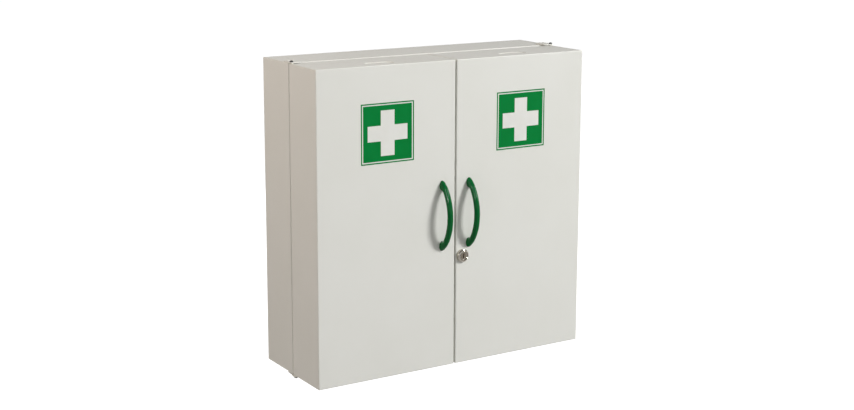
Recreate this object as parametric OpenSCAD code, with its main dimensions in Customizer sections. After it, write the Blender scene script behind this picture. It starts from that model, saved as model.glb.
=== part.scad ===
// Wall-hung steel medicine cabinet with two deep, box-shaped doors, shown closed and unlocked.
// The origin is the centre of the four wall-fixing holes, on the back face.
// +X is to the right as seen from the front, -Y is out of the wall, and +Z is up.

/* [Cabinet] */
// Overall width
cabinet_w = 530; // [480:1:620]
// Height of the case, and of each door
cabinet_h = 530; // [480:1:620]
// Closed depth, from the wall to the door face
cabinet_d = 190; // [180:1:230]
// Depth of the box-shaped doors
door_d = 93; // [80:1:100]
// Thickness of the steel sheet
sheet_t = 1; // [0.8:0.1:1.2]
// Outside radius of the folds in the sheet
fold_r = 1.6; // [1.4:0.1:2.4]
// Width of the return flange round each open side
flange_w = 10; // [9.5:0.5:13]

/* [Gaps] */
// Gap between the case's front edge and the doors
seam_gap = 2; // [1.9:0.1:3]
// Gap between the two doors
centre_gap = 3; // [2:0.5:5]
// How far the doors hang below the case
door_drop = 1; // [0.8:0.1:1.5]

/* [Wall fixing] */
// Distance between the wall holes, across
wall_hole_pitch_x = 440; // [380:5:440]
// Distance between the wall holes, up
wall_hole_pitch_z = 440; // [380:5:440]
// Diameter of the wall holes
wall_hole_d = 7; // [5:0.5:9]

/* [Case shelves] */
// Height of a case shelf above or below the middle
case_shelf_rise = 88; // [70:1:110]
// Distance from the case's front edge back to a shelf
case_shelf_setback = 5; // [3:1:15]
// Depth of the folded edge round a case shelf
case_shelf_edge = 14; // [10:1:20]

/* [Door shelves] */
// Height from one door shelf to the next
door_shelf_pitch = 130; // [120:1:135]
// Height of the lip that keeps things on a shelf
shelf_lip = 28; // [20:1:40]
// Height of the flange at each end of a door shelf
shelf_end = 10; // [8:1:14]
// Width of the foot under the bottom lip
lip_foot = 16; // [12:1:25]
// Gap between the bottom lip's end and the hinge bush
lip_bush_gap = 1; // [0.5:0.5:5]

/* [Oblong recess in each door's top] */
// Length of the recess
recess_l = 52; // [40:1:70]
// Width of the recess
recess_w = 24; // [16:1:30]
// Depth of the recess
recess_depth = 1.2; // [0.6:0.1:2]
// Distance from the door face to the middle of the recess
recess_setback = 26; // [20:1:50]

/* [Hinges] */
// Diameter of the hinge pins
pin_d = 3; // [2.5:0.1:4]
// Diameter of a pin's head
pin_head_d = 6; // [5:0.5:6.5]
// Height of a pin's head
pin_head_h = 2.5; // [1.5:0.1:4]
// Length of the bush inside the door
bush_l = 8; // [5:1:12]
// Wall of the bush
bush_wall = 0.75; // [0.6:0.05:1]
// Width of a hinge plate
plate_w = 20; // [18:1:30]
// Length of a hinge plate
plate_l = 28; // [26:1:36]
// Thickness of a hinge plate
plate_t = 2; // [1.5:0.1:3]
// Length of the step in a lower hinge plate
joggle_run = 4; // [3:0.5:5]
// Diameter of the hinge rivets
rivet_d = 3.2; // [2.4:0.1:4]
// Diameter of a rivet's head
rivet_head_d = 6; // [5:0.1:6.5]
// Distance from the cabinet's side to the outer rivet
rivet_inset = 6; // [5:0.5:7]
// Distance between a plate's two rivets
rivet_pitch = 8.5; // [7:0.5:9]
// Distance from a plate's back end to its rivets
rivet_edge = 7; // [5:0.5:8]
// Height of a rivet's head
rivet_head_h = 1.2; // [0.8:0.1:1.6]
// Diameter of a rivet's swollen tail
rivet_tail_d = 4.8; // [4.2:0.1:5.4]
// Height of a rivet's tail
rivet_tail_h = 1.1; // [0.8:0.1:1.6]

/* [Catches and buffers] */
// Distance from the middle to a magnetic catch
catch_x = 30; // [28:1:80]
// Width of a catch's body
catch_w = 30; // [20:1:32]
// Height of a catch's body
catch_h = 5.6; // [4.5:0.1:6]
// Depth of a catch's body behind the flange
catch_depth = 12; // [10:1:20]
// Thickness of a catch's front plate
catch_bezel_t = 0.9; // [0.6:0.1:1.2]
// How far a catch's front plate reaches past its window
catch_bezel_rim = 1; // [0.6:0.1:1.2]
// Width of the magnet
magnet_w = 22; // [12:1:24]
// Height of the magnet
magnet_h = 3.4; // [2:0.1:4]
// Depth of the magnet
magnet_depth = 9; // [6:0.5:10]
// Distance from the middle to a rubber buffer
buffer_x = 7.5; // [5.5:0.5:9]
// Diameter of a rubber buffer
buffer_d = 7; // [5:0.5:7.5]

/* [Handles] */
// Distance from a door's inner edge to its handle
handle_inset = 25.5; // [22:0.5:40]
// Distance between a handle's feet
handle_pitch = 106; // [90:1:120]
// Height of the grip's middle line over the door at mid-length
grip_rise = 26; // [22:0.5:32]
// Height of the grip's middle line over the door at the feet
grip_foot_rise = 5.5; // [5.4:0.1:6]
// Diameter of the grip
grip_d = 10; // [8:0.5:10.5]
// Diameter of the feet
foot_d = 16; // [14:0.5:18]
// Height of a foot's straight wall
foot_wall = 2.5; // [2:0.5:4]
// Height of the dome on a foot
foot_dome_h = 7.5; // [6:0.1:7.8]
// Diameter of the handle screws
screw_d = 4; // [3:0.5:5]
// Diameter of a handle screw's head
screw_head_d = 7.5; // [6.5:0.5:9]
// Height of a handle screw's head
screw_head_h = 2.6; // [2:0.1:3.5]
// Depth that a handle screw reaches into a foot
screw_reach = 6; // [4:0.5:7]

/* [Lock] */
// Distance from the right door's inner edge to the lock
lock_inset = 12; // [11.5:0.5:14]
// Height of the lock above the middle
lock_z = -74; // [-90:1:-68]
// Diameter of the lock's head
lock_head_d = 22; // [20:0.5:24]
// Height of the lock's head over the door
lock_head_h = 6.5; // [4:0.5:8]
// Bevel round the lock's head
lock_bevel = 1.6; // [0.8:0.1:1.9]
// Diameter of the lock's threaded body
lock_body_d = 16; // [15:0.5:16]
// Width across the body's two flats
lock_flats = 14; // [13:0.5:14.5]
// Length of the body behind the door face
lock_body_l = 20; // [16:1:24]
// Diameter of the turning plug
plug_d = 11; // [9:0.5:12]
// Inside diameter of the head's raised rim
rim_d = 16; // [14.5:0.5:16]
// Depth of the hollow inside the rim
rim_depth = 1.4; // [0.5:0.1:2]
// Width of the keyway
keyway_w = 2; // [1.5:0.1:2.5]
// Height of the keyway
keyway_h = 7.5; // [6:0.5:8]
// Depth of the keyway
keyway_depth = 14; // [10:1:16]
// Width across the flats of the lock nut
nut_flats = 20; // [19:0.5:20.5]
// Thickness of the lock nut
nut_h = 4; // [3:0.5:6]
// Reach of the cam from the lock's axis
cam_reach = 30; // [27:0.5:34]
// Width of the cam
cam_w = 12; // [10:0.5:13]
// Thickness of the cam
cam_t = 2.5; // [2:0.1:3.5]
// Diameter of the cam round the plug
cam_hub_d = 16; // [14:0.5:18]
// Width of the square on the plug's tail
tail_w = 7; // [6:0.5:7.5]
// Diameter of the cam screw
cam_screw_d = 4; // [3:0.5:5]
// Diameter of the cam screw's head
cam_screw_head_d = 9.5; // [9:0.5:12]
// Height of the cam screw's head
cam_screw_head_h = 3; // [2:0.5:4]
// Length of the cam screw in the plug
cam_screw_l = 8; // [5:0.5:8]

/* [Fits] */
// Radial clearance of a turning fit
running_fit = 0.05; // [0.02:0.01:0.09]
// Clearance of a piece that stays put
fixed_fit = 0.05; // [0.02:0.01:0.1]
// Gap between faces that move past each other
thrust_gap = 0.3; // [0.2:0.05:0.4]
// Clearance of the cam in the doors' slots
slot_clearance = 2; // [1:0.5:3]

/* [Hidden] */
$fn = 64;
cut = 1;

half_w = cabinet_w / 2;
half_h = cabinet_h / 2;
case_front = -(cabinet_d - door_d - seam_gap);
door_front = -cabinet_d;
door_back = door_front + door_d;
door_w = (cabinet_w - centre_gap) / 2;
door_x = (centre_gap + door_w) / 2;
door_top = half_h - door_drop;
door_bottom = -half_h - door_drop;
inner_r = fold_r - sheet_t;
door_inner_w = door_w - 2 * sheet_t;
catch_z = half_h - (flange_w + fold_r) / 2;
magnet_front = thrust_gap - seam_gap;

bush_bore_r = pin_d / 2 + running_fit;
bush_r = bush_bore_r + bush_wall;
bush_flange_t = door_drop - thrust_gap;
// The bush just clears the inside of the door's side and back flange.
bush_side_gap = 0.2;
pivot_inset = sheet_t + bush_side_gap + bush_r;
pivot_x = half_w - pivot_inset;
pivot_y = door_back - pivot_inset;
bush_flange_r = pivot_inset - bush_side_gap;

handle_x = centre_gap / 2 + handle_inset;
lock_x = centre_gap / 2 + lock_inset;
cam_front = -lock_body_l - thrust_gap;
cam_back = cam_front - cam_t;
slot_w = cam_t + 2 * slot_clearance;
slot_up = cam_w / 2 + slot_clearance;
lock_to_wall = lock_inset - sheet_t;
slot_down = sqrt(pow(cam_reach, 2) - pow(lock_to_wall, 2)) + slot_clearance;

grip_sag = grip_rise - grip_foot_rise;
grip_r = (pow(handle_pitch / 2, 2) + pow(grip_sag, 2)) / (2 * grip_sag);
grip_half_angle = asin(handle_pitch / 2 / grip_r);

// ---- shared shapes ----

// A centred rectangle with round corners.
module rounded_rect(w, h, r) {
    square([w - 2 * r, h], center = true);
    square([w, h - 2 * r], center = true);
    for (sx = [-1, 1], sy = [-1, 1])
        translate([sx * (w / 2 - r), sy * (h / 2 - r)])
            circle(r = r);
}

// A centred box of folded sheet: all its edges are round.
module folded_box(w, d, h, r) {
    intersection() {
        linear_extrude(height = h, center = true)
            rounded_rect(w, d, r);
        rotate([90, 0, 90])
            linear_extrude(height = w, center = true)
                rounded_rect(d, h, r);
        rotate([90, 0, 0])
            linear_extrude(height = d, center = true)
                rounded_rect(w, h, r);
    }
}

// The hollow of a folded_box with walls one sheet thick.
module folded_hollow(w, d, h) {
    folded_box(w - 2 * sheet_t, d - 2 * sheet_t, h - 2 * sheet_t, inner_r);
}

// The section of a fold: one leg along +X, one along +Y, the outside corner at the origin.
module fold_section(a, b) {
    difference() {
        intersection() {
            square([a, b]);
            union() {
                translate([fold_r, 0])
                    square([a, b]);
                translate([0, fold_r])
                    square([a, b]);
                translate([fold_r, fold_r])
                    circle(r = fold_r);
            }
        }
        translate([fold_r, sheet_t])
            square([a, b]);
        translate([sheet_t, fold_r])
            square([a, b]);
        translate([fold_r, fold_r])
            circle(r = inner_r);
    }
}

// A low dome with a flat base at z = 0.
module dome(d, h) {
    ball_r = (pow(d / 2, 2) + h * h) / (2 * h);
    rotate_extrude()
        intersection() {
            translate([0, h - ball_r])
                circle(r = ball_r);
            square([d / 2, h]);
        }
}

// An oblong with round ends, centred, long along X.
module oblong(l, w, h) {
    linear_extrude(height = h)
        union() {
            square([l - w, w], center = true);
            for (s = [-1, 1])
                translate([s * (l - w) / 2, 0])
                    circle(d = w);
        }
}

// ---- places ----

// At a hinge axis, on the outer face of the door: +Z points out of the cabinet, +X out of its side.
module at_hinge(side, level) {
    translate([side * pivot_x, pivot_y, level > 0 ? door_top : door_bottom])
        mirror([side < 0 ? 1 : 0, 0, 0])
            mirror([0, 0, level < 0 ? 1 : 0])
                children();
}

// At a catch in the case's front flange.
module at_catch(side, level) {
    translate([side * catch_x, case_front, level * catch_z])
        children();
}

// On the door face at a height: +Z points out of the door, and +Y points up.
module at_door_face(x, z) {
    translate([x, door_front, z])
        rotate([90, 0, 0])
            children();
}

// On the door face at both feet of the right handle.
module at_handle_feet() {
    for (s = [-1, 1])
        at_door_face(handle_x, s * handle_pitch / 2)
            children();
}

// In the middle of the right door.
module at_door_middle() {
    translate([door_x, (door_front + door_back) / 2, -door_drop])
        children();
}

// The left door's pieces are the right door's, seen in a mirror.
module left() {
    mirror([1, 0, 0])
        children();
}

// ---- case ----

// Step down from a door's hinge face to the case's face, seen from the hinge.
function joggle(level) = level > 0 ? 0 : 2 * door_drop;

// The outer rivet and the inner rivet of a plate, from the hinge axis.
module at_rivets(level) {
    for (i = [0, 1])
        translate([
            pivot_inset - rivet_inset - i * rivet_pitch,
            plate_l - pivot_inset - rivet_edge,
            door_drop - joggle(level)
        ])
            children();
}

module case_shell() {
    depth = -case_front - sheet_t;
    color("#d8d8d3")
        difference() {
            translate([0, case_front + depth / 2, 0])
                folded_box(cabinet_w, depth, cabinet_h, fold_r);
            translate([0, case_front + depth / 2, 0])
                folded_hollow(cabinet_w, depth, cabinet_h);
            // open front and back, inside the return flanges
            translate([0, case_front / 2, 0])
                cube([cabinet_w - 2 * flange_w, cabinet_d, cabinet_h - 2 * flange_w], center = true);
            for (side = [-1, 1], level = [-1, 1]) {
                at_hinge(side, level)
                    at_rivets(level)
                        cylinder(d = rivet_d + 2 * fixed_fit, h = 4 * sheet_t, center = true);
                at_catch(side, level)
                    cube([catch_w + 2 * fixed_fit, 4 * sheet_t, catch_h + 2 * fixed_fit], center = true);
            }
        }
}

module back_panel() {
    color("#d8d8d3")
        rotate([90, 0, 0])
            difference() {
                linear_extrude(height = sheet_t)
                    rounded_rect(cabinet_w - 2 * fold_r, cabinet_h - 2 * fold_r, fold_r);
                for (sx = [-1, 1], sz = [-1, 1])
                    translate([sx * wall_hole_pitch_x / 2, sz * wall_hole_pitch_z / 2, 0])
                        cylinder(d = wall_hole_d, h = 4 * sheet_t, center = true);
            }
}

// A shelf folded down on all four sides; z is its top face.
module case_shelf(z) {
    w = cabinet_w - 2 * sheet_t;
    back = -2 * sheet_t;
    front = case_front + case_shelf_setback;
    h = case_shelf_edge + fold_r + cut;
    color("#d8d8d3")
        translate([0, (front + back) / 2, z - h / 2])
            difference() {
                folded_box(w, back - front, h, fold_r);
                folded_hollow(w, back - front, h);
                translate([0, 0, -case_shelf_edge])
                    cube([w + cut, back - front + cut, h], center = true);
            }
}

module upper_case_shelf() {
    case_shelf(case_shelf_rise);
}

module lower_case_shelf() {
    case_shelf(-case_shelf_rise);
}

// The plate lies on the case and reaches over the door; a lower one steps down to clear it.
module hinge_plate(level) {
    front = -pivot_inset;
    back = plate_l - pivot_inset;
    step_start = pivot_inset + seam_gap;
    step_end = step_start + joggle_run;
    door_z = door_drop;
    case_z = door_drop - joggle(level);
    color("#dededa")
        difference() {
            intersection() {
                translate([pivot_inset - plate_w / 2, (front + back) / 2, -cabinet_h / 2])
                    linear_extrude(height = cabinet_h)
                        rounded_rect(plate_w, plate_l, pivot_inset);
                rotate([90, 0, 90])
                    linear_extrude(height = 3 * plate_w, center = true)
                        polygon([
                            [front, door_z], [step_start, door_z], [step_end, case_z], [back, case_z],
                            [back, case_z + plate_t], [step_end, case_z + plate_t],
                            [step_start, door_z + plate_t], [front, door_z + plate_t]
                        ]);
            }
            cylinder(r = pin_d / 2 + fixed_fit, h = 4 * plate_t + 4 * door_drop, center = true);
            at_rivets(level)
                cylinder(d = rivet_d + 2 * fixed_fit, h = 4 * plate_t, center = true);
        }
}

module upper_left_hinge_plate() {
    at_hinge(-1, 1)
        hinge_plate(1);
}

module upper_right_hinge_plate() {
    at_hinge(1, 1)
        hinge_plate(1);
}

module lower_left_hinge_plate() {
    at_hinge(-1, -1)
        hinge_plate(-1);
}

module lower_right_hinge_plate() {
    at_hinge(1, -1)
        hinge_plate(-1);
}

// A pin with a low round head on the plate, down through the plate and the door's bush.
module hinge_pin(side, level) {
    seat = door_drop + plate_t;
    pin_l = seat + sheet_t + bush_l;
    color("#4a4c4e")
        at_hinge(side, level) {
            translate([0, 0, seat - pin_l])
                cylinder(d = pin_d, h = pin_l);
            translate([0, 0, seat])
                cylinder(d = pin_head_d, h = pin_head_h / 2);
            translate([0, 0, seat + pin_head_h / 2])
                dome(pin_head_d, pin_head_h / 2);
        }
}

module upper_left_hinge_pin() {
    hinge_pin(-1, 1);
}

module upper_right_hinge_pin() {
    hinge_pin(1, 1);
}

module lower_left_hinge_pin() {
    hinge_pin(-1, -1);
}

module lower_right_hinge_pin() {
    hinge_pin(1, -1);
}

// A blind rivet through a plate and the case: a dome outside and a swollen tail inside.
module rivet() {
    translate([0, 0, -sheet_t])
        cylinder(d = rivet_d, h = sheet_t + plate_t);
    translate([0, 0, plate_t])
        dome(rivet_head_d, rivet_head_h);
    translate([0, 0, -sheet_t - rivet_tail_h])
        cylinder(d = rivet_tail_d, h = rivet_tail_h);
}

module hinge_rivets() {
    color("#b9bab8")
        for (side = [-1, 1], level = [-1, 1])
            at_hinge(side, level)
                at_rivets(level)
                    rivet();
}

// The catch snaps into a window in the front flange, and its pocket holds the magnet.
module catch_body(side, level) {
    bezel_w = catch_w + 2 * catch_bezel_rim;
    bezel_h = catch_h + 2 * catch_bezel_rim;
    color("#e6e6e1")
        at_catch(side, level)
            difference() {
                union() {
                    translate([-catch_w / 2, -catch_bezel_t, -catch_h / 2])
                        cube([catch_w, catch_bezel_t + catch_depth, catch_h]);
                    rotate([90, 0, 0])
                        linear_extrude(height = catch_bezel_t)
                            rounded_rect(bezel_w, bezel_h, catch_bezel_rim);
                }
                translate([0, magnet_front + fixed_fit, 0])
                    cube([
                        magnet_w + 2 * fixed_fit,
                        2 * magnet_depth,
                        magnet_h + 2 * fixed_fit
                    ], center = true);
            }
}

module upper_left_catch() {
    catch_body(-1, 1);
}

module upper_right_catch() {
    catch_body(1, 1);
}

module lower_left_catch() {
    catch_body(-1, -1);
}

module lower_right_catch() {
    catch_body(1, -1);
}

// The magnets stand just clear of the doors' back flanges.
module catch_magnets() {
    color("#6d6f70")
        for (side = [-1, 1], level = [-1, 1])
            at_catch(side, level)
                translate([-magnet_w / 2, magnet_front, -magnet_h / 2])
                    cube([magnet_w, magnet_depth, magnet_h]);
}

// Rubber stops on the case's flange, under each door's free corners.
module door_buffers() {
    color("#55585a")
        for (side = [-1, 1], level = [-1, 1])
            translate([side * buffer_x, case_front, level * catch_z])
                rotate([90, 0, 0])
                    dome(buffer_d, seam_gap - thrust_gap);
}

// ---- doors ----

// The recess pressed into a door's top; grow widens it by the sheet's thickness on its underside.
module top_recess(grow, h) {
    translate([door_x, door_front + recess_setback, 0])
        oblong(recess_l + 2 * grow, recess_w + 2 * grow, h);
}

// A double-D hole, as the lock's body needs.
module lock_hole() {
    r = lock_body_d / 2 + fixed_fit;
    translate([0, 0, -2 * sheet_t])
        linear_extrude(height = 4 * sheet_t)
            intersection() {
                circle(r = r);
                square([lock_flats + 2 * fixed_fit, 2 * r], center = true);
            }
}

// The slot that lets the cam swing through a door's inner side.
module cam_slot() {
    at_door_face(lock_x, lock_z)
        translate([-lock_x, (slot_up - slot_down) / 2, (cam_front + cam_back) / 2])
            rotate([0, 90, 0])
                linear_extrude(height = centre_gap + 4 * sheet_t, center = true)
                    rounded_rect(slot_w, slot_up + slot_down, fold_r);
}

module door_pan(has_lock) {
    opening_w = door_w - 2 * flange_w;
    color("#dcdcd7")
        difference() {
            union() {
                at_door_middle()
                    difference() {
                        folded_box(door_w, door_d, cabinet_h, fold_r);
                        folded_hollow(door_w, door_d, cabinet_h);
                        // open back, inside the return flange
                        translate([0, door_d / 2, 0])
                            cube([opening_w, 4 * sheet_t, cabinet_h - 2 * flange_w], center = true);
                    }
                translate([0, 0, door_top - sheet_t - recess_depth])
                    top_recess(sheet_t, recess_depth + sheet_t / 2);
            }
            translate([0, 0, door_top - recess_depth])
                top_recess(0, recess_depth + cut);
            for (level = [-1, 1])
                at_hinge(1, level)
                    cylinder(r = bush_r + fixed_fit, h = 4 * sheet_t, center = true);
            at_handle_feet()
                cylinder(d = screw_d + 2 * fixed_fit, h = 4 * sheet_t, center = true);
            cam_slot();
            if (has_lock)
                at_door_face(lock_x, lock_z)
                    lock_hole();
        }
}

// A shelf with a lip along its open side and a flange down at each end; z is its top face.
module door_shelf(z) {
    back = door_back - sheet_t;
    depth = back - door_front - sheet_t;
    end_floor = shelf_end + fold_r;
    color("#dcdcd7")
        translate([door_x, 0, z]) {
            rotate([90, 0, 90])
                linear_extrude(height = door_inner_w - 2 * fold_r, center = true)
                    translate([back, -sheet_t])
                        mirror([1, 0, 0])
                            fold_section(depth, shelf_lip + sheet_t);
            for (s = [-1, 1])
                translate([s * door_inner_w / 2, back - fold_r, 0])
                    mirror([s > 0 ? 1 : 0, 0, 0])
                        rotate([90, 0, 0])
                            linear_extrude(height = depth - 2 * fold_r)
                                mirror([0, 1, 0])
                                    fold_section(end_floor, shelf_end);
        }
}

module door_upper_shelf() {
    door_shelf(door_shelf_pitch - door_drop);
}

module door_middle_shelf() {
    door_shelf(-door_drop);
}

module door_lower_shelf() {
    door_shelf(-door_shelf_pitch - door_drop);
}

// The lip of the lowest compartment, on its own foot on the door's floor; it ends beside the bush.
module door_bottom_lip() {
    start = centre_gap / 2 + sheet_t + fold_r;
    end = pivot_x - bush_r - lip_bush_gap;
    color("#dcdcd7")
        translate([start, door_back - sheet_t, door_bottom + sheet_t])
            rotate([90, 0, 90])
                linear_extrude(height = end - start)
                    mirror([1, 0, 0])
                        fold_section(lip_foot, shelf_lip + sheet_t);
}

// A bow handle: a round grip bent to an arc that ends in two domed feet.
module handle() {
    color("#00693a")
        difference() {
            union() {
                at_door_face(handle_x, 0)
                    translate([0, 0, grip_rise - grip_r])
                        rotate([0, 90, 0])
                            rotate([0, 0, 180 - grip_half_angle])
                                rotate_extrude(angle = 2 * grip_half_angle)
                                    translate([grip_r, 0])
                                        circle(d = grip_d);
                at_handle_feet() {
                    cylinder(d = foot_d, h = foot_wall);
                    translate([0, 0, foot_wall])
                        dome(foot_d, foot_dome_h);
                }
            }
            at_handle_feet()
                translate([0, 0, -cut])
                    cylinder(d = screw_d + 2 * fixed_fit, h = screw_reach + cut + thrust_gap);
        }
}

// Two screws from inside the door into the handle's feet.
module handle_screws() {
    color("#b4b6b6")
        at_handle_feet() {
            translate([0, 0, -sheet_t])
                cylinder(d = screw_d, h = sheet_t + screw_reach);
            translate([0, 0, -sheet_t])
                mirror([0, 0, 1])
                    dome(screw_head_d, screw_head_h);
        }
}

// A flanged bush in the door's top or bottom, round the hinge pin.
module hinge_bush(side, level) {
    color("#e9e8e0")
        at_hinge(side, level)
            rotate_extrude()
                polygon([
                    [bush_bore_r, -sheet_t - bush_l], [bush_r, -sheet_t - bush_l],
                    [bush_r, 0], [bush_flange_r, 0],
                    [bush_flange_r, bush_flange_t], [bush_bore_r, bush_flange_t]
                ]);
}

module left_door_pan() {
    left()
        door_pan(false);
}

module left_door_upper_shelf() {
    left()
        door_upper_shelf();
}

module left_door_middle_shelf() {
    left()
        door_middle_shelf();
}

module left_door_lower_shelf() {
    left()
        door_lower_shelf();
}

module left_door_bottom_lip() {
    left()
        door_bottom_lip();
}

module left_handle() {
    left()
        handle();
}

module left_handle_screws() {
    left()
        handle_screws();
}

module left_upper_bush() {
    hinge_bush(-1, 1);
}

module left_lower_bush() {
    hinge_bush(-1, -1);
}

module right_door_pan() {
    door_pan(true);
}

module right_door_upper_shelf() {
    door_upper_shelf();
}

module right_door_middle_shelf() {
    door_middle_shelf();
}

module right_door_lower_shelf() {
    door_lower_shelf();
}

module right_door_bottom_lip() {
    door_bottom_lip();
}

module right_handle() {
    handle();
}

module right_handle_screws() {
    handle_screws();
}

module right_upper_bush() {
    hinge_bush(1, 1);
}

module right_lower_bush() {
    hinge_bush(1, -1);
}

// ---- lock ----

// The lock's fixed part: a raised, bevelled head, and a body with two flats behind the door face.
module lock_housing() {
    head_r = lock_head_d / 2;
    body_r = lock_body_d / 2;
    bore_r = plug_d / 2 + running_fit;
    color("#c9c9c6")
        at_door_face(lock_x, lock_z)
            difference() {
                rotate_extrude()
                    polygon([
                        [bore_r, -lock_body_l], [body_r, -lock_body_l], [body_r, 0], [head_r, 0],
                        [head_r, lock_head_h - lock_bevel], [head_r - lock_bevel, lock_head_h],
                        [rim_d / 2, lock_head_h], [rim_d / 2, lock_head_h - rim_depth],
                        [bore_r, lock_head_h - rim_depth]
                    ]);
                for (s = [-1, 1])
                    translate([s * (lock_flats + lock_body_d) / 2, 0, -lock_body_l])
                        cube([lock_body_d, lock_head_d, 2 * lock_body_l], center = true);
            }
}

module lock_nut() {
    color("#b9b9b4")
        at_door_face(lock_x, lock_z)
            translate([0, 0, -sheet_t - nut_h])
                difference() {
                    rotate([0, 0, 30])
                        cylinder(d = nut_flats / cos(30), h = nut_h, $fn = 6);
                    translate([0, 0, -cut])
                        cylinder(d = lock_body_d + 2 * fixed_fit, h = nut_h + 2 * cut);
                }
}

// The part that the key turns: a keyway in front, a square tail for the cam behind.
module lock_plug() {
    face = lock_head_h - rim_depth / 2;
    color("#9a8f80")
        at_door_face(lock_x, lock_z)
            difference() {
                union() {
                    translate([0, 0, cam_front])
                        cylinder(d = plug_d, h = face - cam_front);
                    translate([-tail_w / 2, -tail_w / 2, cam_back])
                        cube([tail_w, tail_w, cam_t + cut]);
                }
                translate([-keyway_w / 2, -keyway_h / 2, face - keyway_depth])
                    cube([keyway_w, keyway_h, keyway_depth + cut]);
                translate([0, 0, cam_back - cut])
                    cylinder(d = cam_screw_d + 2 * fixed_fit, h = cam_screw_l + thrust_gap + cut);
            }
}

// The cam hangs down when unlocked, and turns a quarter to reach through both doors' slots.
module lock_cam() {
    hole_w = tail_w + 2 * fixed_fit;
    color("#b4b6b6")
        at_door_face(lock_x, lock_z)
            translate([0, 0, cam_back])
                linear_extrude(height = cam_t)
                    difference() {
                        union() {
                            circle(d = cam_hub_d);
                            translate([-cam_w / 2, cam_w / 2 - cam_reach])
                                square([cam_w, cam_reach - cam_w / 2]);
                            translate([0, cam_w / 2 - cam_reach])
                                circle(d = cam_w);
                        }
                        square([hole_w, hole_w], center = true);
                    }
}

module cam_screw() {
    color("#b4b6b6")
        at_door_face(lock_x, lock_z)
            translate([0, 0, cam_back]) {
                cylinder(d = cam_screw_d, h = cam_screw_l);
                mirror([0, 0, 1])
                    dome(cam_screw_head_d, cam_screw_head_h);
            }
}

case_shell();
back_panel();
upper_case_shelf();
lower_case_shelf();
upper_left_hinge_plate();
upper_right_hinge_plate();
lower_left_hinge_plate();
lower_right_hinge_plate();
upper_left_hinge_pin();
upper_right_hinge_pin();
lower_left_hinge_pin();
lower_right_hinge_pin();
hinge_rivets();
upper_left_catch();
upper_right_catch();
lower_left_catch();
lower_right_catch();
catch_magnets();
door_buffers();
left_door_pan();
left_door_upper_shelf();
left_door_middle_shelf();
left_door_lower_shelf();
left_door_bottom_lip();
left_handle();
left_handle_screws();
left_upper_bush();
left_lower_bush();
right_door_pan();
right_door_upper_shelf();
right_door_middle_shelf();
right_door_lower_shelf();
right_door_bottom_lip();
right_handle();
right_handle_screws();
right_upper_bush();
right_lower_bush();
lock_housing();
lock_nut();
lock_plug();
lock_cam();
cam_screw();
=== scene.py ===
import math

import bmesh
import bpy
from mathutils import Matrix, Vector


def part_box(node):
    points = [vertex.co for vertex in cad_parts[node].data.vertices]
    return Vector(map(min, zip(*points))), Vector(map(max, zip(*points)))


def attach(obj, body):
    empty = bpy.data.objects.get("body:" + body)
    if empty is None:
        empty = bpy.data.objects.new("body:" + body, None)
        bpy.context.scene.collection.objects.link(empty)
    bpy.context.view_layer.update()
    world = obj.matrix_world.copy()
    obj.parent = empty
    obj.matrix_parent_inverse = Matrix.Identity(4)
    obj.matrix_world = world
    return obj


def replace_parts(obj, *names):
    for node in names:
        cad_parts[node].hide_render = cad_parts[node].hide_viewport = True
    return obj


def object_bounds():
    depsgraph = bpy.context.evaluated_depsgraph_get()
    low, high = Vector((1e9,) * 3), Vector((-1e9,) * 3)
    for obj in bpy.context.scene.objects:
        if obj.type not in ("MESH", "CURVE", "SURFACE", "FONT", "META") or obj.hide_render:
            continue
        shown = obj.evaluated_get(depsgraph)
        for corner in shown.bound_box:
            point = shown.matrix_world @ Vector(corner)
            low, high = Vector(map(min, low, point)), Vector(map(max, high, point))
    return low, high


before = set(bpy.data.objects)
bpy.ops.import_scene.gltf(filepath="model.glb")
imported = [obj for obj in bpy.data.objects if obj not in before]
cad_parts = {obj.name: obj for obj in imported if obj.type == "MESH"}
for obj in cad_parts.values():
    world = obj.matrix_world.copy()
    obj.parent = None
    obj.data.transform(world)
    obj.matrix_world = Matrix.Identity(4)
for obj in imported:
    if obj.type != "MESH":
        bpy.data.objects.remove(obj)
cad_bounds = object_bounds()

# Lengths in this script are in metres.
MM = 0.001

# Camera: where it stands, and which way it looks, in degrees from straight at the wall.
CAMERA_PLACE = Vector((-1.3431, -2.2445, 0.5646))
CAMERA_TURN = 32.04
CAMERA_TILT = 10.87
CAMERA_ROLL = 0.17
CAMERA_LENS = 62.39
CAMERA_SHIFT_Y = -0.0527

# Stage and light: lengths in metres and lamp powers in watts.
LIT_POINT = Vector((0, -0.15, 0))
FLOOR_DROP = 0.30
FLOOR_SIZE = 60.0
FLOOR_GLOW = 0.90
FLOOR_TONE = (0.50, 0.50, 0.50, 1)
FLOOR_OTHER_TONE = (0.49, 0.49, 0.49, 1)
AMBIENT = 0.25
GLOSS_HORIZON = 1.0
GLOSS_LEVEL = 0.20
KEY_POWER = 184.0
KEY_SIZE = 1.1
FILL_POWER = 1.3
CARD_POWER = 10.2
BACK_POWER = 30.0
STREAK_POWER = 58.0
STREAK_LENGTH = 1.3
STREAK_WIDTH = 0.18

# Handle moulding.
HANDLE_PITCH = 105 * MM
GRIP_RISE = 26 * MM
GRIP_FOOT_RISE = 5.5 * MM
GRIP_R = 5 * MM
GRIP_END = 43 * MM
GRIP_STEPS = 40
FOOT_L = 17 * MM
FOOT_W = 11 * MM
FOOT_LIP = 0.3 * MM
FOOT_STEPS = 16
MOULD_LINE = 0.08 * MM

# Lock body's thread.
THREAD_PITCH = 1.0 * MM
THREAD_DEPTH = 0.55 * MM
THREAD_TOP = -1.2 * MM
THREAD_BORE = 7.0 * MM

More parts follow.
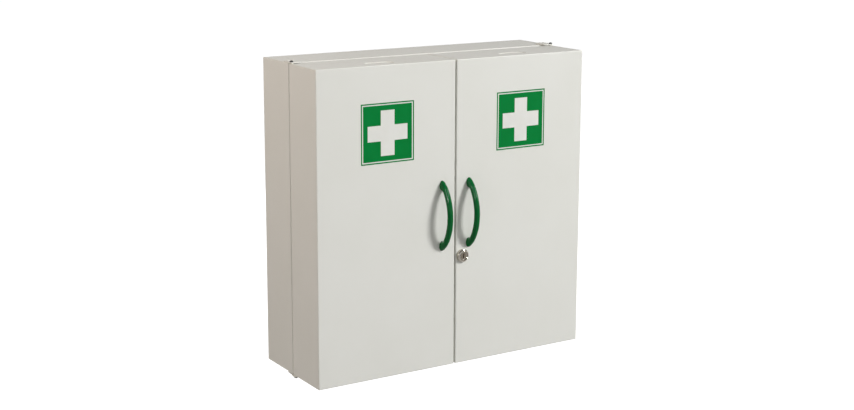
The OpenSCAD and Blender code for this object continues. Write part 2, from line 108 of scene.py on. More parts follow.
# First-aid sign, centred on each door.
SIGN_HEIGHT = 0.152
SIGN_SIDE = 100.6 * MM
SIGN_LINE = 2.2 * MM
SIGN_GAP = 1.8 * MM
CROSS_SPAN = 75.5 * MM
CROSS_ARM = 26.0 * MM
FILM_T = 0.12 * MM
INK_T = 0.05 * MM


# ---- shader building ----

class Tree:
    """Adds nodes to a material's or a group's node tree."""

    def __init__(self, tree):
        self.tree = tree
        self.tree.nodes.clear()

    def add(self, kind, values=None, **settings):
        made = self.tree.nodes.new("ShaderNode" + kind)
        for name, value in settings.items():
            setattr(made, name, value)
        for name, value in (values or {}).items():
            self.feed(made.inputs[name], value)
        return made

    def feed(self, socket, value):
        if isinstance(value, bpy.types.NodeSocket):
            self.tree.links.new(value, socket)
        else:
            socket.default_value = value

    def math(self, operation, a, b=0.0):
        made = self.add("Math", {0: a, 1: b}, operation=operation)
        return made.outputs[0]

    def noise(self, where, scale, detail=3.0, roughness=0.5):
        values = {"Vector": where, "Scale": scale, "Detail": detail, "Roughness": roughness}
        return self.add("TexNoise", values).outputs["Fac"]

    def spread(self, value, low, high, to_low=0.0, to_high=1.0):
        values = {"Value": value, "From Min": low, "From Max": high, "To Min": to_low, "To Max": to_high}
        return self.add("MapRange", values).outputs["Result"]

    def mix(self, amount, a, b):
        made = self.add("Mix", data_type="RGBA")
        for index, value in ((0, amount), (6, a), (7, b)):
            self.feed(made.inputs[index], value)
        return made.outputs[2]

    def place(self):
        return self.add("TexCoord").outputs["Object"]


def group(name, inputs, outputs):
    """An empty node group; sockets are (name, kind) or (name, kind, value)."""
    made = bpy.data.node_groups.new(name, "ShaderNodeTree")
    for socket_name, kind, *value in inputs:
        socket = made.interface.new_socket(socket_name, in_out="INPUT", socket_type="NodeSocket" + kind)
        if value:
            socket.default_value = value[0]
    for socket_name, kind in outputs:
        made.interface.new_socket(socket_name, in_out="OUTPUT", socket_type="NodeSocket" + kind)
    tree = Tree(made)
    start = made.nodes.new("NodeGroupInput").outputs
    end = made.nodes.new("NodeGroupOutput").inputs
    return made, tree, start, end


def colour_drift_group():
    """A slow, cloudy change from one tone to another."""
    made, tree, start, end = group(
        "colour_drift",
        [("Tone", "Color"), ("Other Tone", "Color"), ("Scale", "Float", 8.0), ("Amount", "Float", 1.0)],
        [("Color", "Color")],
    )
    cloud = tree.noise(tree.place(), start["Scale"], detail=4.0, roughness=0.55)
    share = tree.math("MULTIPLY", tree.spread(cloud, 0.35, 0.65), start["Amount"])
    tree.feed(end["Color"], tree.mix(share, start["Tone"], start["Other Tone"]))
    return made


def orange_peel_group():
    """The fine skin of a stoved powder coat, as a height."""
    made, tree, start, end = group(
        "orange_peel", [("Scale", "Float", 700.0)], [("Height", "Float"), ("Mottle", "Float")]
    )
    where = tree.place()
    peel = tree.noise(where, start["Scale"], detail=2.0, roughness=0.4)
    waves = tree.noise(where, tree.math("MULTIPLY", start["Scale"], 0.18), detail=2.0)
    tree.feed(end["Height"], tree.math("ADD", peel, tree.math("MULTIPLY", waves, 0.8)))
    tree.feed(end["Mottle"], waves)
    return made


def edge_wear_group():
    """A mask of outer edges, broken up by noise."""
    made, tree, start, end = group(
        "edge_wear",
        [("Width", "Float", 0.0008), ("Break-up Scale", "Float", 220.0)],
        [("Mask", "Float")],
    )
    soft = tree.add("Bevel", {"Radius": start["Width"]}, samples=4).outputs["Normal"]
    hard = tree.add("NewGeometry").outputs["Normal"]
    likeness = tree.add("VectorMath", {0: soft, 1: hard}, operation="DOT_PRODUCT").outputs["Value"]
    edge = tree.spread(likeness, 0.995, 0.90)
    breaks = tree.spread(tree.noise(tree.place(), start["Break-up Scale"], detail=4.0), 0.42, 0.62)
    tree.feed(end["Mask"], tree.math("MULTIPLY", edge, breaks))
    return made


def dust_group():
    """A thin grey settling on faces that look up."""
    made, tree, start, end = group("dust", [("Amount", "Float", 0.2)], [("Mask", "Float")])
    normal = tree.add("NewGeometry").outputs["Normal"]
    up = tree.add("SeparateXYZ", {"Vector": normal}).outputs["Z"]
    specks = tree.spread(tree.noise(tree.place(), 260.0, detail=6.0, roughness=0.7), 0.45, 0.75)
    facing = tree.spread(up, 0.6, 1.0)
    tree.feed(end["Mask"], tree.math("MULTIPLY", tree.math("MULTIPLY", facing, specks), start["Amount"]))
    return made


def hollow_painted_shade_group():
    """A mask of narrow hollows, where shade is painted in."""
    made, tree, start, end = group("hollow_painted_shade", [("Reach", "Float", 0.002)], [("Mask", "Float")])
    open_share = tree.add("AmbientOcclusion", {"Distance": start["Reach"]}, samples=8).outputs["AO"]
    tree.feed(end["Mask"], tree.spread(open_share, 0.85, 0.45))
    return made


def mould_grain_group():
    """The satin grain that a mould leaves on plastic, as a height, with faint flow marks as a mask."""
    made, tree, start, end = group(
        "mould_grain", [("Scale", "Float", 1500.0)], [("Height", "Float"), ("Flow", "Float")]
    )
    where = tree.place()
    tree.feed(end["Height"], tree.noise(where, start["Scale"], detail=3.0, roughness=0.6))
    drawn = tree.add("Mapping", {"Vector": where, "Scale": (60.0, 60.0, 9.0)}).outputs["Vector"]
    tree.feed(end["Flow"], tree.noise(drawn, 1.0, detail=3.0))
    return made


def tool_marks_group():
    """Fine drawn or turned lines in metal, as a height and a mask."""
    made, tree, start, end = group(
        "tool_marks",
        [("Stretch", "Vector"), ("Scale", "Float", 900.0)],
        [("Height", "Float"), ("Mask", "Float")],
    )
    drawn = tree.add("Mapping", {"Vector": tree.place(), "Scale": start["Stretch"]}).outputs["Vector"]
    lines = tree.noise(drawn, start["Scale"], detail=4.0, roughness=0.65)
    tree.feed(end["Height"], lines)
    tree.feed(end["Mask"], tree.spread(lines, 0.38, 0.66))
    return made


GROUPS = {
    made.name: made
    for made in (
        colour_drift_group(), orange_peel_group(), edge_wear_group(),
        dust_group(), hollow_painted_shade_group(), mould_grain_group(), tool_marks_group(),
    )
}


def effect(tree, name, **values):
    """Places a group; an underscore in a value's name stands for a space or hyphen in the socket's."""
    made = tree.add("Group", node_tree=GROUPS[name])
    for key, value in values.items():
        tree.feed(made.inputs[key.replace("__", "-").replace("_", " ")], value)
    return made.outputs


def material(name):
    made = bpy.data.materials.new(name)
    made.use_nodes = True
    return made, Tree(made.node_tree)


def finish_material(tree, shader_values, height=None, bump=0.1, depth=0.0002):
    """Adds the shader, and a bump where a height is given."""
    if height is not None:
        relief = tree.add("Bump", {"Strength": bump, "Distance": depth, "Height": height})
        shader_values["Normal"] = relief.outputs["Normal"]
    shader = tree.add("BsdfPrincipled", shader_values)
    tree.feed(tree.add("OutputMaterial").inputs["Surface"], shader.outputs["BSDF"])


def tone(red, green, blue):
    """A colour given in screen values from 0 to 255."""
    def linear(value):
        value /= 255
        return value / 12.92 if value <= 0.04045 else ((value + 0.055) / 1.055) ** 2.4
    return (linear(red), linear(green), linear(blue), 1.0)


# ---- materials ----

def powder_coat(name, colour, shade, dust_amount):
    """Semi-gloss powder coat: peel, faint clouds, dulled edges and a little dust."""
    made, tree = material(name)
    peel = effect(tree, "orange_peel", Scale=620.0)
    cloud = effect(tree, "colour_drift", Tone=colour, Other_Tone=shade, Scale=7.0, Amount=0.8)["Color"]
    rubbed = effect(tree, "edge_wear", Width=0.9 * MM, Break__up_Scale=160.0)["Mask"]
    settled = effect(tree, "dust", Amount=dust_amount)["Mask"]
    edged = tree.mix(tree.math("MULTIPLY", rubbed, 0.35), cloud, tone(196, 194, 186))
    dusty = tree.mix(settled, edged, tone(168, 164, 154))
    gloss = tree.spread(peel["Mottle"], 0.3, 0.7, 0.36, 0.46)
    rough = tree.math("ADD", gloss, tree.math("MULTIPLY", settled, 0.5))
    values = {"Base Color": dusty, "Roughness": rough, "Specular IOR Level": 0.3}
    finish_material(tree, values, peel["Height"], 0.12, 0.0002)
    return made


def moulded_plastic(name, colour, shade, gloss, coat=0.0):
    """Injection-moulded plastic with faint flow marks and rubbed edges."""
    made, tree = material(name)
    grain = effect(tree, "mould_grain", Scale=1500.0)
    cloud = effect(tree, "colour_drift", Tone=colour, Other_Tone=shade, Scale=45.0, Amount=0.7)["Color"]
    flowed = tree.mix(tree.spread(grain["Flow"], 0.4, 0.7, 0.0, 0.35), cloud, shade)
    rubbed = effect(tree, "edge_wear", Width=0.6 * MM, Break__up_Scale=300.0)["Mask"]
    satin = tree.spread(grain["Flow"], 0.3, 0.7, gloss - 0.03, gloss + 0.05)
    rough = tree.math("ADD", satin, tree.math("MULTIPLY", rubbed, 0.1))
    values = {"Base Color": flowed, "Roughness": rough, "Specular IOR Level": 0.02}
    values.update({"Coat Weight": coat, "Coat Roughness": 0.03, "Coat IOR": 1.38})
    finish_material(tree, values, grain["Height"], 0.05, 0.0001)
    return made


def plated_metal(name, colour, dull, roughness, stretch, grime=0.4):
    """Plated or blackened steel with tool marks, dull patches, bright edges and painted shade in its hollows.
    """
    made, tree = material(name)
    marks = effect(tree, "tool_marks", Stretch=stretch, Scale=900.0)
    patches = effect(tree, "colour_drift", Tone=colour, Other_Tone=dull, Scale=120.0, Amount=grime)["Color"]
    rubbed = effect(tree, "edge_wear", Width=0.35 * MM, Break__up_Scale=500.0)["Mask"]
    bright = tree.mix(tree.math("MULTIPLY", rubbed, 0.6), patches, colour)
    # Painted shade: narrow hollows, found by occlusion, are darkened towards a dark brown and made rougher.
    hollow = effect(tree, "hollow_painted_shade", Reach=2.4 * MM)["Mask"]
    shaded = tree.mix(hollow, bright, tone(44, 38, 30))
    drawn = tree.spread(marks["Mask"], 0.0, 1.0, roughness - 0.05, roughness + 0.08)
    rough = tree.math("ADD", drawn, tree.math("MULTIPLY", hollow, 0.2))
    values = {"Base Color": shaded, "Roughness": rough, "Metallic": 1.0}
    finish_material(tree, values, marks["Height"], 0.12, 0.00005)
    return made


def rubber(name, colour, shade):
    """Soft rubber with a dusty bloom."""
    made, tree = material(name)
    grain = effect(tree, "mould_grain", Scale=2400.0)
    bloom = effect(tree, "colour_drift", Tone=colour, Other_Tone=shade, Scale=300.0, Amount=0.8)["Color"]
    finish_material(tree, {"Base Color": bloom, "Roughness": 0.75}, grain["Height"], 0.2, 0.0001)
    return made


PAINT = tone(227, 227, 221)
PAINT_SHADE = tone(224, 224, 217)

HINGE_PAINT = tone(226, 226, 220)
HINGE_PAINT_SHADE = tone(218, 218, 211)
BLACK_STEEL = tone(92, 92, 94)
BLACK_STEEL_DULL = tone(52, 50, 48)
ZINC = tone(205, 206, 204)
ZINC_DULL = tone(168, 170, 170)
NICKEL = tone(214, 208, 196)
NICKEL_DULL = tone(170, 160, 144)
WORN_PLUG = tone(158, 148, 132)
WORN_PLUG_DULL = tone(96, 84, 70)
POLE_STEEL = tone(150, 150, 152)
POLE_STEEL_DULL = tone(98, 98, 100)
HANDLE_GREEN = tone(0, 98, 44)
HANDLE_GREEN_SHADE = tone(0, 90, 40)
NYLON = tone(232, 230, 218)
NYLON_SHADE = tone(222, 219, 204)
WHITE_PLASTIC = tone(234, 234, 230)
WHITE_PLASTIC_SHADE = tone(226, 226, 220)
BLACK_RUBBER = tone(70, 71, 72)
RUBBER_BLOOM = tone(88, 88, 88)

# One finish for each material slot of the record.
FINISHES = {
    "case_paint": powder_coat("case_powder_coat", PAINT, PAINT_SHADE, 0.10),
    "door_paint": powder_coat("door_powder_coat", PAINT, PAINT_SHADE, 0.06),
    "hinge_paint": powder_coat("hinge_powder_coat", HINGE_PAINT, HINGE_PAINT_SHADE, 0.12),
    "pin_steel": plated_metal("blackened_pin_steel", BLACK_STEEL, BLACK_STEEL_DULL, 0.38, (1, 1, 0.1)),
    "zinc_steel": plated_metal("zinc_plated_steel", ZINC, ZINC_DULL, 0.34, (1, 1, 0.15)),
    "lock_nickel": plated_metal("bright_nickel", NICKEL, NICKEL_DULL, 0.12, (1, 0.1, 1)),
    "plug_brass": plated_metal("worn_plug_nickel", WORN_PLUG, WORN_PLUG_DULL, 0.26, (1, 1, 0.2)),
    "magnet_steel": plated_metal("ground_pole_steel", POLE_STEEL, POLE_STEEL_DULL, 0.4, (0.1, 1, 1)),
    "handle_green": moulded_plastic("green_handle_plastic", HANDLE_GREEN, HANDLE_GREEN_SHADE, 0.3, coat=0.45),
    "bush_nylon": moulded_plastic("natural_nylon", NYLON, NYLON_SHADE, 0.5),
    "catch_plastic": moulded_plastic("white_catch_plastic", WHITE_PLASTIC, WHITE_PLASTIC_SHADE, 0.42),
    "buffer_rubber": rubber("buffer_rubber", BLACK_RUBBER, RUBBER_BLOOM),
}

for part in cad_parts.values():
    for place in part.material_slots:
        place.material = FINISHES[place.material.name.split(".")[0]]


def sign_ink():
    """The sign's screen-printed green."""
    made, tree = material("sign_green_ink")
    tones = {"Tone": tone(0, 125, 55), "Other_Tone": tone(0, 120, 51)}
    cloud = effect(tree, "colour_drift", Scale=60.0, Amount=0.8, **tones)["Color"]
    screen = tree.noise(tree.place(), 3500.0, detail=1.0)
    rough = tree.spread(screen, 0.3, 0.7, 0.34, 0.44)
    values = {"Base Color": cloud, "Roughness": rough, "Specular IOR Level": 0.08}
    finish_material(tree, values, screen, 0.05, 0.00005)
    return made


def sign_film():
    """The sign's white plastic film."""
    made, tree = material("sign_white_film")
    tones = {"Tone": tone(229, 229, 224), "Other_Tone": tone(225, 225, 218)}
    cloud = effect(tree, "colour_drift", Scale=40.0, Amount=0.8, **tones)["Color"]
    grain = effect(tree, "mould_grain", Scale=2200.0)
    rough = tree.spread(grain["Flow"], 0.3, 0.7, 0.3, 0.38)
    finish_material(tree, {"Base Color": cloud, "Roughness": rough}, grain["Height"], 0.04, 0.00005)
    return made


# ---- pieces ----

def shown(name, mesh, finish, body):
    """Makes an object of a mesh and says how it moves and what it is made of."""
    piece = bpy.data.objects.new(name, mesh)
    bpy.context.collection.objects.link(piece)
    mesh.materials.append(finish)
    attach(piece, body)
    return piece


def refined(node, mesh, body, slot):
    """Shows a finer piece in place of a CAD node."""
    piece = shown(node + "_refined", mesh, FINISHES[slot], body)
    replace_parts(piece, node)
    return piece


def lofted(name, rings, sharp_angle=35.0, hollow=False):
    """A closed skin over rings with equal numbers of points: capped at both ends, or joined end to start."""
    bm = bmesh.new()
    loops = [[bm.verts.new(point) for point in ring] for ring in rings]
    if hollow:
        loops.append(loops[0])
    count = len(rings[0])
    for low, high in zip(loops, loops[1:]):
        for i in range(count):
            j = (i + 1) % count
            bm.faces.new((low[i], low[j], high[j], high[i]))
    if not hollow:
        bm.faces.new(loops[0])
        bm.faces.new(loops[-1])
    bmesh.ops.recalc_face_normals(bm, faces=bm.faces[:])
    return smooth_mesh(name, bm, sharp_angle)


def smooth_mesh(name, bm, sharp_angle=35.0):
    """A mesh of the skin, smooth but for edges sharper than an angle."""
    mesh = bpy.data.meshes.new(name)
    bm.to_mesh(mesh)
    bm.free()
    mesh.shade_smooth()
    mesh.set_sharp_from_angle(angle=math.radians(sharp_angle))
    return mesh


def turned(name, profile, steps=72, reach=None, hollow=False):
    """A skin turned round an axis: profile points are (radius, height); reach may change the radius."""
    rings = []
    for radius, height in profile:
        ring = []
        for step in range(steps):
            angle = 2 * math.pi * step / steps
            r = reach(radius, height, angle) if reach else radius
            ring.append(Vector((r * math.cos(angle), r * math.sin(angle), height)))
        rings.append(ring)
    return lofted(name, rings, hollow=hollow)


def out_of_door(x, z):
    """A place on the door's face whose +Z points out of the door and whose +Y points up."""
    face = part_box("right_door_pan")[0].y
    return Matrix.Translation((x, face, z)) @ Matrix.Rotation(math.radians(90), 4, "X")


def ease(a, b, amount):
    """A value part of the way from one to another."""
    return a + (b - a) * amount


def curve_point(start, start_pull, end, end_pull, t):
    """A point on a smooth curve from one place to another, leaving and arriving along two pulls."""
    a = 2 * t ** 3 - 3 * t ** 2 + 1
    b = t ** 3 - 2 * t ** 2 + t
    c = 3 * t ** 2 - 2 * t ** 3
    d = t ** 3 - t ** 2
    return start * a + start_pull * b + end * c + end_pull * d


def grip_ring(angle, arc_r, steps):
    """One ring round the grip, at an angle along its arc, with a fine mould line on both sides."""
    out = Vector((0, math.sin(angle), math.cos(angle)))
    centre = out * arc_r + Vector((0, 0, GRIP_RISE - arc_r))
    ring = []
    for turn in steps:
        line = max(0.0, 1 - abs(math.sin(turn)) / 0.06) * MOULD_LINE
        ring.append(centre + (Vector((math.cos(turn), 0, 0)) + out * math.sin(turn)) * (GRIP_R + line))
    return ring


def foot_ring(side, steps, scale, lift):
    """The foot's outline on the door, a pointed oblong."""
    ring = []
    for turn in steps:
        across = math.cos(turn) * FOOT_W / 2
        along = math.sin(turn) * FOOT_L / 2
        blunt = abs(math.cos(turn)) ** 0.85 * math.copysign(FOOT_W / 2, across)
        place = side * (HANDLE_PITCH / 2 + along * scale)
        ring.append(Vector((ease(across, blunt, 0.5) * scale, place, lift)))
    return ring


def handle_rings():
    """Rings from the lower foot over the bow to the upper foot."""
    sag = GRIP_RISE - GRIP_FOOT_RISE
    arc_r = ((HANDLE_PITCH / 2) ** 2 + sag ** 2) / (2 * sag)
    end = math.asin(GRIP_END / arc_r)
    fine = 0.05
    steps = [0.0, fine] + [fine + (math.pi - 2 * fine) * k / 20 for k in range(1, 20)]
    steps = steps + [math.pi - fine, math.pi, math.pi + fine]
    steps = steps + [math.pi + fine + (math.pi - 2 * fine) * k / 20 for k in range(1, 20)] + [-fine]
    upper = []
    base = foot_ring(1, steps, 1.0, FOOT_LIP)
    top = grip_ring(end, arc_r, steps)
    way = Vector((0, -math.cos(end), math.sin(end)))
    upper.append(foot_ring(1, steps, 0.95, 0.0))
    for k in range(FOOT_STEPS):
        ring = []
        for turn, low, high in zip(steps, base, top):
            outer = (1 + math.sin(turn)) / 2
            leave = Vector((0, 0, ease(13 * MM, 7 * MM, outer)))
            arrive = way * ease(4 * MM, 24 * MM, outer)
            ring.append(curve_point(low, leave, high, arrive, k / FOOT_STEPS))
        upper.append(ring)
    lower = [[Vector((p.x, -p.y, p.z)) for p in ring] for ring in upper]
    middle = [grip_ring(end * (2 * k / GRIP_STEPS - 1), arc_r, steps) for k in range(GRIP_STEPS + 1)]
    return lower + middle + upper[::-1]


def bow_handle(body, node):
    """A moulded bow handle: its grip runs down into two long feet."""
    low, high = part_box(node)
    mesh = lofted(node + "_moulding", handle_rings(), 40.0)
    mesh.transform(out_of_door((low.x + high.x) / 2, (low.z + high.z) / 2))
    refined(node, mesh, body, "handle_green")


def thread_reach(flat):
    """A screw thread's outline, cut by two flats."""
    def reach(radius, height, angle):
        if height < THREAD_TOP and radius > THREAD_BORE:
            turn = (height / THREAD_PITCH - angle / (2 * math.pi)) % 1.0
            radius -= THREAD_DEPTH * abs(2 * turn - 1)
        if height < 0:
            radius = min(radius, flat / max(abs(math.cos(angle)), 0.01))
        return radius
    return reach


def lock_housing():
    """The lock's nickel-plated head, hollow round its plug, and its threaded body."""
    low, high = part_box("lock_housing")
    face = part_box("right_door_pan")[0].y
    head_r = (high.x - low.x) / 2
    head_h = face - low.y
    back = face - high.y
    bore = 5.6 * MM
    floor = head_h - 1.4 * MM
    body_r = 8.0 * MM
    threads = int((THREAD_TOP - back) / (THREAD_PITCH / 8))
    profile = [(bore, back), (body_r - 0.9 * MM, back)]
    profile += [(body_r, back + (THREAD_TOP - back) * (k + 1) / (threads + 1)) for k in range(threads)]
    profile += [(body_r - 0.5 * MM, THREAD_TOP + 0.1 * MM), (body_r - 0.5 * MM, -0.02 * MM), (body_r, 0.0)]
    profile += [(head_r - 0.15 * MM, 0.0), (head_r, 0.15 * MM), (head_r, head_h - 1.9 * MM)]
    profile += bend(head_r, head_h - 1.9 * MM, head_r - 0.25 * MM, head_h - 1.4 * MM)
    profile += [(head_r - 1.4 * MM, head_h - 0.2 * MM), (head_r - 1.75 * MM, head_h)]
    profile += [(8.2 * MM, head_h), (8.0 * MM, head_h - 0.2 * MM), (7.9 * MM, floor + 0.25 * MM)]
    profile += [(7.65 * MM, floor), (6.5 * MM, floor), (6.4 * MM, floor + 0.35 * MM)]
    profile += [(bore + 0.1 * MM, floor + 0.35 * MM), (bore, floor + 0.25 * MM)]
    mesh = turned("lock_head", profile, 96, thread_reach(7.0 * MM), hollow=True)
    middle = ((low.x + high.x) / 2, (low.z + high.z) / 2)
    mesh.transform(out_of_door(*middle))
    refined("lock_housing", mesh, "right_door", "lock_nickel")


def bend(from_r, from_h, to_r, to_h, steps=4):
    """Points of a quarter round between two profile points."""
    points = []
    for k in range(1, steps + 1):
        angle = math.pi / 2 * k / steps
        points.append((ease(from_r, to_r, 1 - math.cos(angle)), ease(from_h, to_h, math.sin(angle))))
    return points


def chamfered_nut():
    """A hexagon nut with turned chamfers and an eased bore."""
    low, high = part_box("lock_nut")
    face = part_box("right_door_pan")[0].y
    back, front = face - high.y, face - low.y
    half = min(high.x - low.x, high.z - low.z) / 2
    tall = high.z - low.z > high.x - low.x
    cut = 0.8 * MM
    bore = 8.05 * MM

    def hexagon(radius, height, angle):
        turn = (angle if tall else angle + math.pi / 6) % (math.pi / 3) - math.pi / 6
        side = half / math.cos(turn)
        return min(radius, side) if radius > bore + cut else radius

    corner = half / math.cos(math.pi / 6)
    profile = [(bore, back + cut), (bore + cut / 2, back), (half * 0.96, back)]
    profile += [(ease(half * 0.96, corner, t), back + cut * t * t) for t in (0.35, 0.7, 1.0)]
    profile += [(ease(corner, half * 0.96, t), front - cut * (1 - t) ** 2) for t in (0.0, 0.3, 0.65, 1.0)]
    profile += [(bore + cut / 2, front), (bore, front - cut)]
    mesh = turned("chamfered_nut", profile, 96, hexagon, hollow=True)
    mesh.transform(out_of_door((low.x + high.x) / 2, (low.z + high.z) / 2))
    refined("lock_nut", mesh, "right_door", "zinc_steel")


def cross_cutter(size, depth):
    """The tapered cross that a driver leaves in a screw's head, pointing down from z = 0."""
    bm = bmesh.new()
    for turn in (0, math.pi / 2):
        made = bmesh.ops.create_cube(bm, size=1.0)["verts"]
        for v in made:
            lower = v.co.z < 0
            arm = v.co.x * size * (0.45 if lower else 1.0)
            blade = v.co.y * size * 0.24 * (0.7 if lower else 1.0)
            v.co = Vector((arm, blade, -depth if lower else depth))
        bmesh.ops.rotate(bm, verts=made, cent=(0, 0, 0), matrix=Matrix.Rotation(turn, 3, "Z"))
    mesh = bpy.data.meshes.new("cross_cutter")
    bm.to_mesh(mesh)
    bm.free()
    return mesh


def carved(mesh, cutter, name):
    """The mesh with the cutter's shape taken away."""
    whole = bpy.data.objects.new(name, mesh)
    tool = bpy.data.objects.new(name + "_tool", cutter)
    for item in (whole, tool):
        bpy.context.collection.objects.link(item)
    cut = whole.modifiers.new("cut", "BOOLEAN")
    cut.operation = "DIFFERENCE"
    cut.object = tool
    cut.solver = "EXACT"
    cut.use_self = True
    bpy.context.view_layer.update()
    result = bpy.data.meshes.new_from_object(whole.evaluated_get(bpy.context.evaluated_depsgraph_get()))
    result.name = name
    for item in (whole, tool):
        bpy.data.objects.remove(item)
    result.shade_smooth()
    result.set_sharp_from_angle(angle=math.radians(32))
    return result


def pan_screw(name, thread_r, length, head_r, head_h):
    """A cross-recessed pan-head screw; +Z points from the head to the tip, from under the head."""
    profile = [(0.02 * MM, -head_h), (head_r * 0.45, -head_h * 0.985), (head_r * 0.72, -head_h * 0.88)]
    profile += [(head_r * 0.9, -head_h * 0.66), (head_r * 0.98, -head_h * 0.38), (head_r, -head_h * 0.1)]
    profile += [(head_r - 0.1 * MM, 0.0), (thread_r, 0.0)]
    profile += [(thread_r, length * (k + 1) / 48) for k in range(46)]
    profile += [(thread_r * 0.72, length), (0.02 * MM, length)]

    def reach(radius, height, angle):
        if height <= 0.3 * MM or radius < thread_r * 0.9:
            return radius
        turn = (height / (0.7 * MM) - angle / (2 * math.pi)) % 1.0
        return radius - 0.3 * MM * abs(2 * turn - 1)

    body = turned(name, profile, 40, reach)
    cutter = cross_cutter(head_r * 1.15, head_h * 0.62)
    cutter.transform(Matrix.Translation((0, 0, -head_h)) @ Matrix.Rotation(math.pi, 4, "X"))
    return carved(body, cutter, name)


def islands(node):
    """The separate lumps of a CAD node, each as its two corners."""
    bm = bmesh.new()
    bm.from_mesh(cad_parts[node].data)
    bmesh.ops.remove_doubles(bm, verts=bm.verts[:], dist=1e-6)
    left, found = set(bm.verts), []
    while left:
        todo, lump = [left.pop()], []
        while todo:
            vert = todo.pop()
            lump.append(vert.co.copy())
            for edge in vert.link_edges:
                other = edge.other_vert(vert)
                if other in left:
                    left.remove(other)
                    todo.append(other)
        corners = [[pick(point[i] for point in lump) for i in range(3)] for pick in (min, max)]
        found.append(tuple(Vector(corner) for corner in corners))
    bm.free()
    return sorted(found, key=lambda pair: tuple(pair[0]))


def handle_screws(side, body):
    """Two pan-head screws from inside the door into the handle's feet."""
    node = side + "_handle_screws"
    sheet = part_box("right_door_pan")[0].y + 1.0 * MM
    for number, (low, high) in enumerate(islands(node)):
        head_r, head_h = (high.x - low.x) / 2, high.y - sheet
        mesh = pan_screw(f"{side}_handle_screw_{number}", 2.0 * MM, sheet - low.y, head_r, head_h)
        mesh.transform(Matrix.Rotation(0.6 + number, 4, "Z"))
        mesh.transform(Matrix.Rotation(math.radians(90), 4, "X"))
        mesh.transform(Matrix.Translation(((low.x + high.x) / 2, sheet, (low.z + high.z) / 2)))
        piece = shown(mesh.name, mesh, FINISHES["zinc_steel"], body)
        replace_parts(piece, node)


def cam_screw():
    """The screw that holds the cam on the plug's tail."""
    low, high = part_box("cam_screw")
    cam_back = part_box("lock_cam")[1].y
    mesh = pan_screw("cam_screw_refined", 2.4 * MM, cam_back - low.y, (high.x - low.x) / 2, high.y - cam_back)
    mesh.transform(Matrix.Rotation(math.radians(90), 4, "X"))
    mesh.transform(Matrix.Translation(((low.x + high.x) / 2, cam_back, (low.z + high.z) / 2)))
    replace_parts(shown(mesh.name, mesh, FINISHES["zinc_steel"], "lock_barrel"), "cam_screw")


def blind_rivets():
    """Pop rivets, each with its hollow and the end of its broken mandrel."""
    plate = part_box("upper_left_hinge_plate")[1].z
    for number, (low, high) in enumerate(islands("hinge_rivets")):
        upper = high.z > 0
        radius = (high.x - low.x) / 2
        head = max(high.z, -low.z) - plate
        tail = high.z - low.z - head
        shank = radius * 0.52
        profile = [(0.02 * MM, -tail), (shank * 0.8, -tail), (shank, 0.3 * MM - tail), (shank, 0.0)]
        profile += [(radius - 0.08 * MM, 0.0), (radius, head * 0.1), (radius * 0.96, head * 0.34)]
        profile += [(radius * 0.8, head * 0.68), (radius * 0.55, head * 0.94), (radius * 0.42, head)]
        profile += [(radius * 0.34, head * 0.94), (radius * 0.32, head * 0.4), (radius * 0.25, head * 0.4)]
        profile += [(radius * 0.22, head * 0.66), (0.02 * MM, head * 0.74)]
        mesh = turned(f"hinge_rivet_{number}", profile, 40)
        if not upper:
            mesh.transform(Matrix.Rotation(math.pi, 4, "X"))
        middle = Vector(((low.x + high.x) / 2, (low.y + high.y) / 2, plate if upper else -plate))
        mesh.transform(Matrix.Translation(middle))
        piece = shown(mesh.name, mesh, FINISHES["hinge_paint"], "case")
        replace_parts(piece, "hinge_rivets")


def eased_edges(width, *nodes):
    """Takes the sharpness off small CAD pieces' edges."""
    for node in nodes:
        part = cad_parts[node]
        ease_edge = part.modifiers.new("eased_edges", "BEVEL")
        ease_edge.width = width
        ease_edge.segments = 2
        ease_edge.limit_method = "ANGLE"
        ease_edge.angle_limit = math.radians(50)
        ease_edge.harden_normals = True


def tiled_plate(name, lines, keep, back, front):
    """A flat plate in the door's plane: the cells of a square grid that keep(column, row) names."""
    bm = bmesh.new()
    cells = len(lines) - 1
    corners = {
        (column, row): bm.verts.new((lines[column], back, lines[row]))
        for column in range(cells + 1) for row in range(cells + 1)
    }
    for column in range(cells):
        for row in range(cells):
            if keep(column, row):
                ring = ((column, row), (column + 1, row), (column + 1, row + 1), (column, row + 1))
                bm.faces.new([corners[corner] for corner in ring])
    bmesh.ops.delete(bm, geom=[v for v in bm.verts if not v.link_faces], context="VERTS")
    grown = bmesh.ops.extrude_face_region(bm, geom=bm.faces[:])["geom"]
    moved = [item for item in grown if isinstance(item, bmesh.types.BMVert)]
    bmesh.ops.translate(bm, verts=moved, vec=(0, front - back, 0))
    bmesh.ops.recalc_face_normals(bm, faces=bm.faces[:])
    mesh = bpy.data.meshes.new(name)
    bm.to_mesh(mesh)
    bm.free()
    return mesh


def first_aid_sign(body, film, ink):
    """A printed sticker: a green square with a white cross, in a thin green line."""
    low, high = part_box(body + "_pan")
    face = low.y
    half = SIGN_SIDE / 2
    field = half - SIGN_LINE - SIGN_GAP
    reach, arm = CROSS_SPAN / 2, CROSS_ARM / 2
    film_front = face - FILM_T
    layers = (
        ("film", [-half, half], lambda c, r: True, face, film_front, film),
        ("line", [-half, SIGN_LINE - half, half - SIGN_LINE, half],
         lambda c, r: (c, r) != (1, 1), film_front, film_front - INK_T, ink),
        ("field", [-field, -reach, -arm, arm, reach, field],
         lambda c, r: not (c == 2 and 0 < r < 4 or r == 2 and 0 < c < 4),
         film_front, film_front - INK_T, ink),
    )
    for layer, lines, keep, back, front, finish in layers:
        mesh = tiled_plate(f"{body}_sign_{layer}", lines, keep, back, front)
        mesh.transform(Matrix.Translation(((low.x + high.x) / 2, 0, SIGN_HEIGHT)))
        shown(mesh.name, mesh, finish, body)


